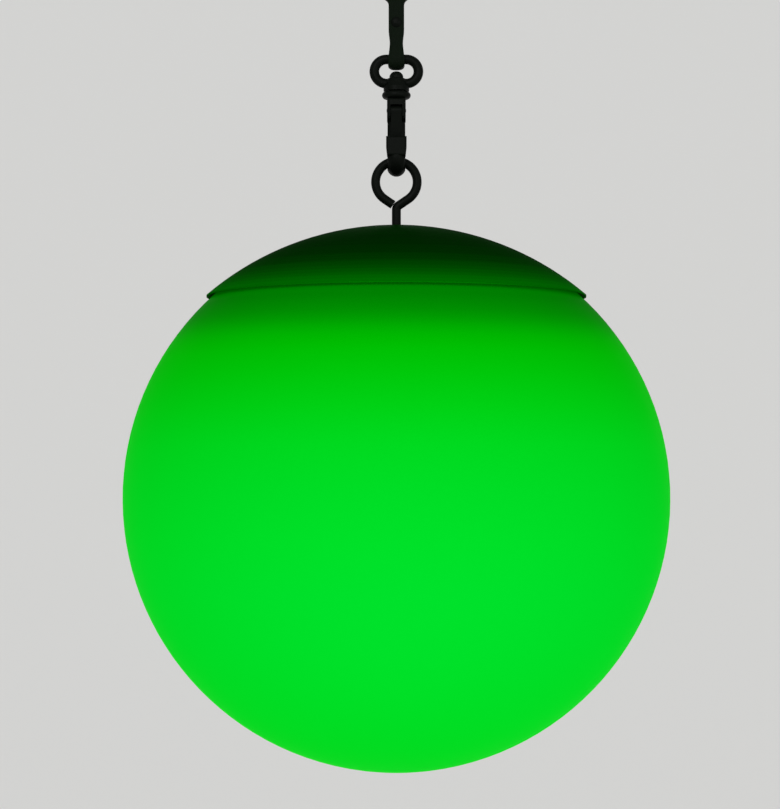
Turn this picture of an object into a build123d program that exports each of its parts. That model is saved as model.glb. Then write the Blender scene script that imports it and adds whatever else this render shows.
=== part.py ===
from build123d import *
from math import acos, asin, atan2, cos, degrees, radians, sin, sqrt, tan
import os

# Hanging garden globe light, in millimetres. The origin is the centre of the strap's eyelet,
# by which the light hangs; +Z is up, and the front of the light faces -Y.

# ---- clearances
move_gap = 0.3          # between pieces that move past each other
pin_gap = 0.05          # radial, pin or stem in its bore
seat_gap = 0.05         # between curved or threaded faces of one body

# ---- hanging strap
strap_length = 41.3     # eyelet centre to the centre of the swivel eye's top wire
strap_width = 8.6
strap_waist = 7.3       # where the strip is drawn together above the loop
strap_loop_width = 9.2
waist_drop = 32.5       # eyelet centre to the waist
ply = 3.0               # leather thickness
tab_radius = 10.0
eyelet_bore_r = 4.25
eyelet_wall = 0.45
eyelet_flange_r = 7.4
flange_t = 0.9
strap_rivet_drop = 21.0
strap_rivet_r = 1.25
strap_rivet_head_r = 3.0
rivet_bite = 0.4        # rivet's end inside its cap

# ---- swivel eye and swivel rivet
eye_wire_d = 5.4
eye_opening_h = 8.0
eye_opening_w = 19.0
boss_h = 6.95           # bottom of the opening to the bottom of the boss
boss_r = 7.1
boss_top_r = 4.8
stem_r = 2.1
stem_depth = 8.0        # below the boss, pressed into the hook
rivet_head_r = 3.85
rivet_head_h = 3.7

# ---- snap hook
collar_r = 7.95
collar_h = 4.2
body_w = 10.35          # across the hook, along X
hook_reach = 32.65      # underside of the collar to the centre of the bend
bend_inner_r = 4.6
bar_w = 10.2            # the bar is crowned inside, to bear on the ring, and rounded outside
bar_t = 5.7
bar_edge_r = 0.9
nose_w = 11.3
nose_h = 11.0           # centre of the bend to the nose's tip
nose_t = 5.8
nose_taper = 5.0        # the wide nose narrows to the bar over this height
nose_edge_r = 1.4
body_h = 11.7           # underside of the collar to the underside of the body's front
body_front = 7.2        # swivel axis to the front face
gate_w = 6.0
gate_pin_y = -3.8
gate_pin_drop = 6.9     # underside of the collar to the gate pin
gate_pin_r = 1.0
gate_hub_r = 2.8
gate_tip_y = -2.45
gate_tip_r = 1.5
gate_overlap = 3.2      # how far the gate's tip centre lies below the nose's tip
body_corner_r = 2.2
spring_r = 2.2
spring_w = 1.8
spring_wire = 0.7

# ---- eye bolt
bolt_wire_d = 5.0
ring_inner_d = 18.0
ring_point_drop = 10.9  # ring centre to the point where its two ends meet
ring_bend_r = 3.0       # bend from the shank into the ring
ring_to_cap = 24.45     # ring centre to the cap's crown
cut_gap = 0.15

# ---- cap
cap_r = 104.6
cap_height = 39.7
cap_t = 1.0
cap_lip = 0.8           # straight edge at the rim

# ---- globe
globe_d = 300.0
globe_wall = 2.5
rim_overhang = 3.0      # cap rim beyond the globe's surface beside it
mouth_rise = 1.4        # globe's mouth above the cap's rim
lip_t = 4.0
lip_w = 6.0             # thickened lip, inwards from the mouth
lug_count = 3
lug_angle = 16.0
lug_reach = 3.6
lug_t = 4.0
twist_angle = 45.0
notch_play = 1.0        # degrees, beside the lug in its notch
stop_angle = 3.0
stop_drop = 3.2

# ---- carrier
deck_t = 2.4
skirt_wall = 2.2
skirt_drop = 14.8       # below the globe's mouth
flange_reach = 4.6      # carrier's flange beyond the skirt
gasket_t = 1.0
gasket_w = 3.2
tube_r = 6.0
seal_t = 1.2
nut_flange_r = 9.0
nut_flange_t = 1.4
nut_body_r = 5.0
nut_body_h = 4.0
washer_r = 5.6
washer_t = 1.0
lock_nut_across = 8.0
lock_nut_h = 5.0

# ---- LED ring
board_t = 1.6
led_room = 2.9          # between the lens and the skirt
led_board_w = 10.0
led_count = 12
led_size = 5.0
led_h = 1.2
lens_wall = 1.6
lens_depth = 7.4
pillar_count = 4
pillar_r = 3.2
screw_r = 1.3
screw_head_r = 2.6
screw_head_h = 1.6
screw_bite = 5.0

# ---- battery tub
cell_d = 14.5
cell_length = 50.5
cell_count = 3
cell_pitch = 15.0
spring_room = 4.0       # at each end of the cells
tub_wall = 1.6
tub_near_y = 10.9       # near inside face of the tub
tub_side_play = 0.35
contact_t = 0.5
cover_t = 2.0
cover_lap = 1.5         # cover beyond the tub's mouth
cover_seal_t = 0.8
ear_x = 35.4
ear_r = 4.4

# ---- control board
control_size_x = 56.0
control_size_y = 34.0
control_near_y = -20.0
control_rise = 7.0      # deck to the underside of the board
post_r = 3.2
button_y = -42.0
button_r = 5.5
button_flange_r = 7.0
button_flange_t = 1.2
button_show = 2.0       # below the deck
button_travel = 0.8
lead_w = 3.2            # flat twin lead
lead_t = 1.4
lead_bend_r = 2.5
lead_lift = 4.0         # above the control board

# ---- levels, worked out from the eyelet down
eye_wire_r = eye_wire_d / 2
eye_wire_z = -strap_length
eye_floor_z = eye_wire_z - eye_wire_r - eye_opening_h
boss_z = eye_floor_z - boss_h
collar_z = boss_z - move_gap
body_z = collar_z - collar_h
bend_z = body_z - hook_reach
bar_outer_r = bend_inner_r + bar_t
nose_tip_z = bend_z + nose_h
gate_pin_z = body_z - gate_pin_drop
gate_tip_z = nose_tip_z - gate_overlap

bolt_r = bolt_wire_d / 2
ring_inner_r = ring_inner_d / 2
ring_mid_r = ring_inner_r + bolt_r
saddle_r = ring_inner_r - move_gap      # crown of the bar, as round as the ring that hangs on it
bar_edge = bend_inner_r + saddle_r - sqrt(saddle_r ** 2 - bar_w ** 2 / 4)
ring_z = bend_z - bend_inner_r - saddle_r

crown_z = ring_z - ring_to_cap
rim_z = crown_z - cap_height
dome_rise = cap_height - cap_lip
dome_r = (cap_r ** 2 + dome_rise ** 2) / (2 * dome_rise)
dome_centre_z = crown_z - dome_r
dome_inner_r = dome_r - cap_t

globe_r = globe_d / 2
globe_inner_r = globe_r - globe_wall
rim_globe_r = cap_r - rim_overhang
globe_z = rim_z - sqrt(globe_r ** 2 - rim_globe_r ** 2)
mouth_z = rim_z + mouth_rise
mouth_r = sqrt(globe_r ** 2 - (mouth_z - globe_z) ** 2)
lip_inner_r = mouth_r - lip_w
lip_z = mouth_z - lip_t
lip_outer_r = sqrt(globe_inner_r ** 2 - (lip_z - globe_z) ** 2)

skirt_r = lip_inner_r - move_gap
flange_r = skirt_r + flange_reach
flange_z = mouth_z + move_gap + gasket_t
deck_top_z = dome_centre_z + sqrt((dome_inner_r - move_gap) ** 2 - flange_r ** 2)
deck_z = deck_top_z - deck_t
lug_top_z = lip_z - move_gap
inner_crown_z = dome_centre_z + dome_inner_r
nut_top_z = dome_centre_z + sqrt(dome_inner_r ** 2 - nut_flange_r ** 2) - seat_gap
nut_z = nut_top_z - nut_flange_t - nut_body_h
tube_top_z = nut_z - seal_t
washer_z = deck_z - washer_t
lock_nut_z = washer_z - lock_nut_h
bolt_end_z = lock_nut_z - 2.0

led_board_outer_r = skirt_r - skirt_wall - led_room - lens_wall - seat_gap
led_board_inner_r = led_board_outer_r - led_board_w
led_ring_r = (led_board_inner_r + led_board_outer_r) / 2
led_board_z = deck_z - board_t
lens_z = deck_z - lens_depth

tub_half_x = cell_length / 2 + spring_room
tub_far_y = tub_near_y + 2 * tub_side_play + cell_d + (cell_count - 1) * cell_pitch
tub_mid_y = (tub_near_y + tub_far_y) / 2
cell_z = deck_z + tub_side_play + cell_d / 2 + 1.0
tub_top_z = cell_z + cell_d / 2 + tub_side_play
cell_ys = [tub_mid_y + (i - (cell_count - 1) / 2) * cell_pitch for i in range(cell_count)]
ear_places = [(-ear_x, tub_mid_y), (ear_x, tub_mid_y)]
cover_z = deck_z - cover_seal_t - cover_t
cover_half_x = tub_half_x + cover_lap
cover_half_y = (tub_far_y - tub_near_y) / 2 + cover_lap

control_z = deck_top_z + control_rise
control_mid_y = control_near_y - control_size_y / 2
control_posts = [(x, y) for x in (-control_size_x / 2 + 4, control_size_x / 2 - 4)
                 for y in (control_near_y - 4, control_near_y - control_size_y + 4)]
stem_top_z = deck_top_z + button_flange_t + 2.2


def polar(radius, angle):
    """Point at this radius and angle, in degrees from +X."""
    return (radius * cos(radians(angle)), radius * sin(radians(angle)))


def belt(a, a_radius, b, b_radius):
    """The four points where a belt round two circles touches them, as a polygon that joins the circles."""
    distance = sqrt((b[0] - a[0]) ** 2 + (b[1] - a[1]) ** 2)
    heading = degrees(atan2(b[1] - a[1], b[0] - a[0]))
    spread = degrees(acos((a_radius - b_radius) / distance))
    corners = ((a, a_radius, spread), (a, a_radius, -spread), (b, b_radius, -spread), (b, b_radius, spread))
    return [
        (centre[0] + radius * cos(radians(heading + turn)), centre[1] + radius * sin(radians(heading + turn)))
        for centre, radius, turn in corners
    ]


def save(builder, name):
    """Label the finished piece and write it under its name."""
    builder.part.label = name
    export_step(builder.part, "parts/" + name + ".step")


os.makedirs("parts", exist_ok=True)

# ================================================================ strap
loop_inner_r = eye_wire_r + move_gap
loop_outer_r = loop_inner_r + ply
split_z = -waist_drop + 1.0     # below this the two plies part
ply_gap = 0.1                   # half the gap between them where they part

with BuildPart() as hanging_strap:
    with BuildSketch(Plane.YZ) as strap_side:
        with Locations((0, eye_wire_z)):
            Circle(loop_outer_r)
        Polygon(*belt((0, eye_wire_z), loop_outer_r, (0, split_z), ply), align=None)
        with Locations((0, (tab_radius + split_z) / 2)):
            Rectangle(2 * ply, tab_radius - split_z)
    extrude(amount=tab_radius, both=True)
    with BuildSketch(Plane.YZ) as loop_space:
        with Locations((0, eye_wire_z)):
            Circle(loop_inner_r)
        Polygon(*belt((0, eye_wire_z), loop_inner_r, (0, split_z), ply_gap), align=None)
    extrude(amount=tab_radius, both=True, mode=Mode.SUBTRACT)
    # front outline: round tab, strip, waist and loop
    with BuildSketch(Plane.XZ) as strap_front:
        with BuildLine():
            foot = EllipticalCenterArc(
                (0, eye_wire_z - loop_inner_r), strap_loop_width / 2, ply, start_angle=-90, arc_size=90,
            )
            waist = Spline(
                foot @ 1, (strap_waist / 2, -waist_drop), (strap_width / 2, -waist_drop + 8.0),
                tangents=[(0, 1), (0, 1)],
            )
            strip_edge = Line(waist @ 1, (strap_width / 2, 0))
            Line(strip_edge @ 1, (0, 0))
            mirror(about=Plane.YZ)
        make_face()
        Circle(tab_radius)
        tab_corners = strap_front.vertices().filter_by_position(Axis.Y, -tab_radius, -0.5 * tab_radius)
        fillet(tab_corners, radius=0.35 * tab_radius)
    extrude(amount=loop_outer_r + ply, both=True, mode=Mode.INTERSECT)
    with BuildSketch(Plane.XZ):
        Circle(eyelet_bore_r + eyelet_wall + seat_gap)
        with Locations((0, -strap_rivet_drop)):
            Circle(strap_rivet_r + seat_gap)
    extrude(amount=2 * ply, both=True, mode=Mode.SUBTRACT)
save(hanging_strap, "hanging_strap")

with BuildPart() as strap_eyelet:
    with BuildSketch(Plane.XY):
        with BuildLine():
            Polyline(
                (eyelet_bore_r, -ply - flange_t), (eyelet_flange_r - flange_t, -ply - flange_t),
                (eyelet_flange_r, -ply), (eyelet_bore_r + eyelet_wall, -ply),
                (eyelet_bore_r + eyelet_wall, ply + flange_t), (eyelet_bore_r, ply + flange_t),
                close=True,
            )
        make_face()
    revolve(axis=Axis.Y)
    fillet(strap_eyelet.edges().filter_by(GeomType.CIRCLE).group_by(Axis.Y)[0].sort_by(SortBy.RADIUS)[-1],
           radius=0.4 * flange_t)
save(strap_eyelet, "strap_eyelet")

with BuildPart() as eyelet_washer:
    with BuildSketch(Plane.XZ.offset(-ply)):
        Circle(eyelet_flange_r)
        Circle(eyelet_bore_r + eyelet_wall + seat_gap, mode=Mode.SUBTRACT)
    extrude(amount=-0.8 * flange_t)
    chamfer(eyelet_washer.edges().group_by(Axis.Y)[-1].sort_by(SortBy.RADIUS)[-1], length=0.3 * flange_t)
save(eyelet_washer, "eyelet_washer")

rivet_plane = Plane.XY.offset(-strap_rivet_drop)
rivet_axis = Axis((0, 0, -strap_rivet_drop), (0, 1, 0))
with BuildPart() as strap_rivet:
    with BuildSketch(rivet_plane):
        with BuildLine():
            crown = Line((0, ply + rivet_bite), (0, -ply - flange_t))
            dome = ThreePointArc(
                crown @ 1, (0.7 * strap_rivet_head_r, -ply - 0.6 * flange_t), (strap_rivet_head_r, -ply),
            )
            Polyline(dome @ 1, (strap_rivet_r, -ply), (strap_rivet_r, ply + rivet_bite), crown @ 0)
        make_face()
    revolve(axis=rivet_axis)
save(strap_rivet, "strap_rivet")

with BuildPart() as strap_rivet_cap:
    with BuildSketch(rivet_plane):
        with BuildLine():
            cap_axis = Line((0, ply + rivet_bite + seat_gap), (0, ply + 1.1 * flange_t))
            dome = ThreePointArc(
                cap_axis @ 1, (0.7 * strap_rivet_head_r, ply + 0.7 * flange_t), (strap_rivet_head_r, ply),
            )
            Polyline(
                dome @ 1, (strap_rivet_r + seat_gap, ply),
                (strap_rivet_r + seat_gap, ply + rivet_bite + seat_gap), cap_axis @ 0,
            )
        make_face()
    revolve(axis=rivet_axis)
save(strap_rivet_cap, "strap_rivet_cap")

# ================================================================ swivel eye
eye_end_r = (eye_opening_h + eye_wire_d) / 2
eye_flat = (eye_opening_w + eye_wire_d) / 2 - eye_end_r
eye_low_z = eye_wire_z - 2 * eye_end_r
eye_mid_z = eye_wire_z - eye_end_r

with BuildPart() as swivel_eye:
    # half of the wire loop, top and bottom runs and the round end, then its mirror image
    with BuildSketch(Plane.YZ):
        with Locations((0, eye_wire_z), (0, eye_low_z)):
            Circle(eye_wire_r)
    extrude(amount=eye_flat)
    with BuildSketch(Plane.YZ.offset(eye_flat)):
        with Locations((0, eye_wire_z)):
            Circle(eye_wire_r)
    revolve(axis=Axis((eye_flat, 0, eye_mid_z), (0, 1, 0)), revolution_arc=180)
    mirror(about=Plane.YZ)
    # boss that carries the stem, drawn in towards the opening
    with BuildSketch(Plane.XZ):
        with BuildLine():
            Polyline(
                (0, boss_z), (boss_r, boss_z), (boss_r, boss_z + 0.35 * boss_h),
                (boss_top_r, eye_floor_z), (0, eye_floor_z), close=True,
            )
        make_face()
    revolve(axis=Axis.Z)
    with BuildSketch(Plane.XY.offset(boss_z)):
        Circle(stem_r + pin_gap)
    extrude(amount=boss_h + eye_wire_d, mode=Mode.SUBTRACT)
save(swivel_eye, "swivel_eye")

stem_end_z = boss_z - stem_depth
head_z = eye_floor_z + move_gap
with BuildPart() as swivel_rivet:
    with BuildSketch(Plane.XZ):
        with BuildLine():
            axis_line = Line((0, stem_end_z), (0, head_z + rivet_head_h))
            head_dome = ThreePointArc(
                axis_line @ 1,
                (0.72 * rivet_head_r, head_z + 0.76 * rivet_head_h),
                (rivet_head_r, head_z + 0.2 * rivet_head_h),
            )
            Polyline(
                head_dome @ 1, (rivet_head_r, head_z), (stem_r, head_z), (stem_r, stem_end_z), axis_line @ 0,
            )
        make_face()
    revolve(axis=Axis.Z)
save(swivel_rivet, "swivel_rivet")

# ================================================================ snap hook
body_low_z = body_z - body_h
slot_half_x = gate_w / 2 + move_gap
slot_back_y = gate_pin_y + gate_hub_r + move_gap
tip_reach_y = gate_tip_y - gate_pin_y
tip_reach_z = gate_pin_z - gate_tip_z
tip_reach = sqrt(tip_reach_y ** 2 + tip_reach_z ** 2)
tip_rest = degrees(asin(tip_reach_y / tip_reach))
open_tip_y = bend_inner_r - gate_tip_r - move_gap
tip_open = degrees(asin((open_tip_y - gate_pin_y) / tip_reach))
gate_open = tip_open - tip_rest         # degrees, pushed in as far as the spine lets it
open_tip = (open_tip_y, gate_pin_z - tip_reach * cos(radians(tip_open)))

with BuildPart() as hook_body:
    # body that holds the gate and carries the collar
    with BuildSketch(Plane.YZ) as body_side:
        with BuildLine():
            Polyline(
                (-body_front, body_z), (0.8 * bar_outer_r, body_z), (bar_outer_r, body_z - 0.4 * body_h),
                (bar_outer_r, body_low_z), (bend_inner_r, body_low_z),
                (bend_inner_r - 1.5, body_low_z + 1.6), (bend_inner_r - 4.0, body_low_z + 2.4),
                (-body_front, body_low_z), close=True,
            )
        make_face()
        fillet(body_side.vertices().group_by(Axis.X)[0], radius=1.6)
    extrude(amount=body_w / 2, both=True)
    with BuildSketch(Plane.XY.offset(body_z)):
        with Locations((0, (bar_outer_r - body_front) / 2)):
            RectangleRounded(body_w, bar_outer_r + body_front, body_corner_r)
    extrude(amount=-body_h, mode=Mode.INTERSECT)
    # bar: spine behind, bend below, foot of the nose in front
    with BuildSketch(Plane.XY.offset(bend_z)) as bar_section:
        with BuildLine():
            crowned = ThreePointArc((-bar_w / 2, bar_edge), (0, bend_inner_r), (bar_w / 2, bar_edge))
            ThreePointArc(crowned @ 1, (0, bar_outer_r), crowned @ 0)
        make_face()
        fillet(bar_section.vertices(), radius=bar_edge_r)
    extrude(amount=body_low_z + 0.3 * body_h - bend_z)
    with BuildSketch(Plane.XY.offset(bend_z)):
        add(bar_section.sketch_local)
    revolve(axis=Axis((0, 0, bend_z), (-1, 0, 0)), revolution_arc=180)
    with BuildSketch(Plane.XY.offset(bend_z)):
        add(bar_section.sketch_local.mirror(Plane.XZ))
    extrude(amount=nose_h - nose_edge_r)
    # nose, wider than the bar, its front face rounded off all round
    with BuildPart(mode=Mode.PRIVATE) as nose:
        with BuildSketch(Plane.XZ.offset(bend_inner_r)):
            with BuildLine():
                Polyline(
                    (-bar_w / 2, bend_z), (bar_w / 2, bend_z), (nose_w / 2, bend_z + nose_taper),
                    (nose_w / 2, nose_tip_z), (-nose_w / 2, nose_tip_z), (-nose_w / 2, bend_z + nose_taper),
                    close=True,
                )
            make_face()
        extrude(amount=nose_t)
        fillet(nose.edges().group_by(Axis.Y)[0], radius=nose_edge_r)
    add(nose)
    # collar, a flat ring with a round edge
    with BuildSketch(Plane.XZ):
        with BuildLine():
            collar_low = Line((0, body_z), (collar_r - collar_h / 2, body_z))
            collar_edge = ThreePointArc(
                collar_low @ 1, (collar_r, body_z + collar_h / 2), (collar_r - collar_h / 2, collar_z),
            )
            Polyline(collar_edge @ 1, (0, collar_z), collar_low @ 0)
        make_face()
    revolve(axis=Axis.Z)
    # bore of the stem, slot of the gate, hole of its pin
    with BuildSketch(Plane.XY.offset(collar_z)):
        Circle(stem_r + seat_gap)
    extrude(amount=-(stem_depth - move_gap + seat_gap), mode=Mode.SUBTRACT)
    with BuildSketch(Plane.YZ):
        with Locations(((slot_back_y - 2 * body_front) / 2, (gate_pin_z + body_low_z - 5) / 2)):
            Rectangle(slot_back_y + 2 * body_front, gate_pin_z - body_low_z + 5)
        with Locations((gate_pin_y, gate_pin_z)):
            Circle(gate_hub_r + move_gap)
        with Locations((gate_pin_y - body_front, gate_pin_z)):
            Rectangle(2 * body_front, 2 * (gate_hub_r + move_gap))
    extrude(amount=slot_half_x, both=True, mode=Mode.SUBTRACT)
    # room behind the gate when it is pushed in
    with BuildSketch(Plane.YZ):
        with Locations((gate_pin_y, gate_pin_z)):
            Circle(gate_hub_r + move_gap)
        with Locations(open_tip):
            Circle(gate_tip_r + move_gap)
        Polygon(
            *belt((gate_pin_y, gate_pin_z), gate_hub_r + move_gap, open_tip, gate_tip_r + move_gap), align=None,
        )
    extrude(amount=slot_half_x, both=True, mode=Mode.SUBTRACT)
    with BuildSketch(Plane.YZ):
        with Locations((gate_pin_y, gate_pin_z)):
            Circle(gate_pin_r + seat_gap)
    extrude(amount=body_w, both=True, mode=Mode.SUBTRACT)
save(hook_body, "hook_body")

with BuildPart() as gate_pin:
    with BuildSketch(Plane.YZ):
        with Locations((gate_pin_y, gate_pin_z)):
            Circle(gate_pin_r)
    extrude(amount=body_w / 2 + 0.2, both=True)
    chamfer(gate_pin.edges().filter_by(GeomType.CIRCLE), length=0.2 * gate_pin_r)
save(gate_pin, "gate_pin")

# gate: hub round the pin, lever down to the inside of the nose, groove for the spring
with BuildPart() as hook_gate:
    with BuildSketch(Plane.YZ):
        with Locations((gate_pin_y, gate_pin_z)):
            Circle(gate_hub_r)
        with Locations((gate_tip_y, gate_tip_z)):
            Circle(gate_tip_r)
        Polygon(
            *belt((gate_pin_y, gate_pin_z), gate_hub_r, (gate_tip_y, gate_tip_z), gate_tip_r), align=None,
        )
    extrude(amount=gate_w / 2, both=True)
    with BuildSketch(Plane.YZ):
        with Locations((gate_pin_y, gate_pin_z)):
            Circle(gate_pin_r + pin_gap)
    extrude(amount=gate_w, both=True, mode=Mode.SUBTRACT)
    with BuildSketch(Plane.YZ):
        with Locations((gate_pin_y, gate_pin_z)):
            Circle(spring_r + seat_gap)
        with Locations((gate_pin_y + spring_r / 2, gate_pin_z - 3.0)):
            Rectangle(spring_r + 2 * seat_gap, 6.0)
        with Locations((gate_pin_y + spring_r, gate_pin_z + spring_r / 2)):
            Rectangle(2 * spring_r, 2 * spring_r)
    extrude(amount=spring_w / 2 + seat_gap, both=True, mode=Mode.SUBTRACT)
save(hook_gate, "hook_gate")

with BuildPart() as gate_spring:
    with BuildSketch(Plane.YZ):
        with Locations((gate_pin_y, gate_pin_z)):
            Circle(spring_r)
            Circle(gate_pin_r + 2 * pin_gap, mode=Mode.SUBTRACT)
    extrude(amount=spring_w / 2, both=True)
    # legs, one against the body and one down the gate's groove
    leg_y = spring_r - spring_wire / 2
    with BuildSketch(Plane.XY.offset(gate_pin_z)):
        with Locations((0, gate_pin_y + leg_y)):
            Circle(spring_wire / 2)
    extrude(amount=-5.0)
save(gate_spring, "gate_spring")

# ================================================================ eye bolt
leg_angle = degrees(acos(ring_inner_r / ring_point_drop))   # from the bottom, where the ring runs out straight
leg_x = ring_mid_r * sin(radians(leg_angle))
leg_z = ring_z - ring_mid_r * cos(radians(leg_angle))
leg_length = leg_x / cos(radians(leg_angle))                # as far as the middle of the shank
bend_share = ring_bend_r * tan(radians(90 - leg_angle) / 2)
bend_start_z = leg_z - leg_x * tan(radians(leg_angle)) - bend_share
# the other leg ends square, just short of the bend
to_bend_x, to_bend_z = ring_bend_r + leg_x, bend_start_z - leg_z
end_length = (to_bend_x * cos(radians(leg_angle)) - to_bend_z * sin(radians(leg_angle))
              - ring_bend_r - bolt_r - cut_gap)
end_plane = Plane(
    origin=(-leg_x, 0, leg_z), x_dir=(0, 1, 0), z_dir=(cos(radians(leg_angle)), 0, -sin(radians(leg_angle))),
)

with BuildPart() as eye_bolt:
    # ring over the top, and the leg that ends beside the shank
    with BuildSketch(end_plane):
        Circle(bolt_r)
    revolve(axis=Axis((0, 0, ring_z), (0, 1, 0)), revolution_arc=360 - 2 * leg_angle)
    with BuildSketch(end_plane):
        Circle(bolt_r)
    extrude(amount=end_length)
    # leg into the bend, and the shank
    with BuildSketch(Plane(
        origin=(leg_x, 0, leg_z), x_dir=(0, 1, 0), z_dir=(-cos(radians(leg_angle)), 0, -sin(radians(leg_angle))),
    )):
        Circle(bolt_r)
    extrude(amount=leg_length - bend_share)
    with BuildSketch(Plane.XY.offset(bend_start_z)):
        Circle(bolt_r)
    revolve(axis=Axis((ring_bend_r, 0, bend_start_z), (0, 1, 0)), revolution_arc=90 - leg_angle)
    with BuildSketch(Plane.XY.offset(bolt_end_z)):
        Circle(bolt_r)
    extrude(amount=bend_start_z - bolt_end_z)
    chamfer(eye_bolt.edges().group_by(Axis.Z)[0], length=0.2 * bolt_r)
save(eye_bolt, "eye_bolt")

# ================================================================ cap
with BuildPart() as dome_cap:
    with BuildSketch(Plane.XZ):
        with BuildLine():
            outer_mid = 0.5 * cap_r
            outer = ThreePointArc(
                (0, crown_z), (outer_mid, dome_centre_z + sqrt(dome_r ** 2 - outer_mid ** 2)),
                (cap_r, rim_z + cap_lip),
            )
            inner_rim_r = cap_r - cap_t
            inner_rim_z = dome_centre_z + sqrt(dome_inner_r ** 2 - inner_rim_r ** 2)
            Polyline(outer @ 1, (cap_r, rim_z), (inner_rim_r, rim_z), (inner_rim_r, inner_rim_z))
            inner_arc = ThreePointArc(
                (inner_rim_r, inner_rim_z),
                (outer_mid, dome_centre_z + sqrt(dome_inner_r ** 2 - outer_mid ** 2)),
                (0, inner_crown_z),
            )
            Line(inner_arc @ 1, outer @ 0)
        make_face()
    revolve(axis=Axis.Z)
    with BuildSketch(Plane.XY.offset(crown_z + 1)):
        Circle(bolt_r + move_gap)
    extrude(amount=-cap_t - 2, mode=Mode.SUBTRACT)
save(dome_cap, "dome_cap")

with BuildPart() as cap_nut:
    with BuildSketch(Plane.XY.offset(nut_top_z)):
        Circle(nut_flange_r)
    extrude(amount=-nut_flange_t)
    with BuildSketch(Plane.XY.offset(nut_top_z - nut_flange_t)):
        Circle(nut_body_r)
    extrude(amount=-nut_body_h)
    with BuildSketch(Plane.XY.offset(nut_top_z)):
        Circle(bolt_r + seat_gap)
    extrude(amount=-nut_flange_t - nut_body_h, mode=Mode.SUBTRACT)
save(cap_nut, "cap_nut")

with BuildPart() as bolt_seal:
    with BuildSketch(Plane.XY.offset(tube_top_z)):
        Circle(tube_r)
        Circle(bolt_r + seat_gap, mode=Mode.SUBTRACT)
    extrude(amount=seal_t)
save(bolt_seal, "bolt_seal")

# ================================================================ carrier
tub_box_x = tub_half_x + tub_wall
tub_box_y = (tub_far_y - tub_near_y) / 2 + tub_wall
lead_slot_y = -led_ring_r

with BuildPart() as carrier:
    # deck, flange over the gasket, skirt inside the globe's mouth
    with BuildSketch(Plane.XZ):
        with BuildLine():
            Polyline(
                (0, deck_z), (skirt_r - skirt_wall, deck_z), (skirt_r - skirt_wall, mouth_z - skirt_drop),
                (skirt_r, mouth_z - skirt_drop), (skirt_r, flange_z), (flange_r, flange_z),
                (flange_r, deck_top_z), (0, deck_top_z), close=True,
            )
        make_face()
    revolve(axis=Axis.Z)
    # lugs of the twist lock, below the globe's lip
    with BuildSketch(Plane.XY.offset(lug_top_z)):
        for i in range(lug_count):
            with BuildLine():
                middle = 90 + i * 360 / lug_count
                first = middle - lug_angle / 2
                CenterArc((0, 0), skirt_r + lug_reach, first, lug_angle)
                CenterArc((0, 0), skirt_r - skirt_wall / 2, first, lug_angle)
                for side in (first, first + lug_angle):
                    Line(polar(skirt_r - skirt_wall / 2, side), polar(skirt_r + lug_reach, side))
            make_face()
    extrude(amount=-lug_t)
    # bolt tube, battery tub, cover bosses, board posts
    with BuildSketch(Plane.XY.offset(deck_top_z)):
        Circle(tube_r)
    extrude(amount=tube_top_z - deck_top_z)
    with BuildSketch(Plane.XY.offset(deck_top_z)):
        with Locations((0, tub_mid_y)):
            RectangleRounded(2 * tub_box_x, 2 * tub_box_y, 2.0)
    extrude(amount=tub_top_z + tub_wall - deck_top_z)
    with BuildSketch(Plane.XY.offset(deck_top_z)):
        with Locations(*ear_places):
            Circle(post_r)
    extrude(amount=screw_bite + 1.0)
    with BuildSketch(Plane.XY.offset(deck_top_z)):
        with Locations(*control_posts):
            Circle(post_r)
    extrude(amount=control_rise)
    # inside of the tub, open downwards
    with BuildSketch(Plane.XY.offset(deck_z)):
        with Locations((0, tub_mid_y)):
            RectangleRounded(2 * tub_half_x, tub_far_y - tub_near_y, 1.0)
    extrude(amount=tub_top_z - deck_z, mode=Mode.SUBTRACT)
    # bores of the bolt, the screws and the button, slot for the LED leads
    with BuildSketch(Plane.XY.offset(deck_z)):
        Circle(bolt_r + seat_gap)
    extrude(amount=tube_top_z - deck_z, mode=Mode.SUBTRACT)
    with BuildSketch(Plane.XY.offset(deck_z)):
        with Locations(*ear_places):
            Circle(screw_r + seat_gap)
    extrude(amount=screw_bite, mode=Mode.SUBTRACT)
    with BuildSketch(Plane.XY.offset(control_z)):
        with Locations(*control_posts):
            Circle(screw_r + seat_gap)
    extrude(amount=-screw_bite, mode=Mode.SUBTRACT)
    with BuildSketch(Plane.XY.offset(deck_z)):
        with PolarLocations(led_ring_r, pillar_count, start_angle=180 / pillar_count):
            Circle(screw_r + seat_gap)
        with Locations((0, button_y)):
            Circle(button_r + move_gap)
        with Locations((0, lead_slot_y)):
            SlotOverall(10.0, 4.0)
    extrude(amount=deck_t, mode=Mode.SUBTRACT)
save(carrier, "carrier")

with BuildPart() as clamp_washer:
    with BuildSketch(Plane.XY.offset(washer_z)):
        Circle(washer_r)
        Circle(bolt_r + seat_gap, mode=Mode.SUBTRACT)
    extrude(amount=washer_t)
save(clamp_washer, "clamp_washer")

with BuildPart() as lock_nut:
    with BuildSketch(Plane.XY.offset(lock_nut_z)):
        RegularPolygon(lock_nut_across / 2, 6, major_radius=False)
    extrude(amount=lock_nut_h)
    # nylon insert's collar, drawn in below the hexagon
    with BuildSketch(Plane.XY.offset(lock_nut_z)):
        Circle(0.45 * lock_nut_across)
    extrude(amount=-0.9)
    with BuildSketch(Plane.XY.offset(lock_nut_z + lock_nut_h)):
        Circle(bolt_r + seat_gap)
    extrude(amount=-lock_nut_h - 0.9, mode=Mode.SUBTRACT)
save(lock_nut, "lock_nut")

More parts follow.
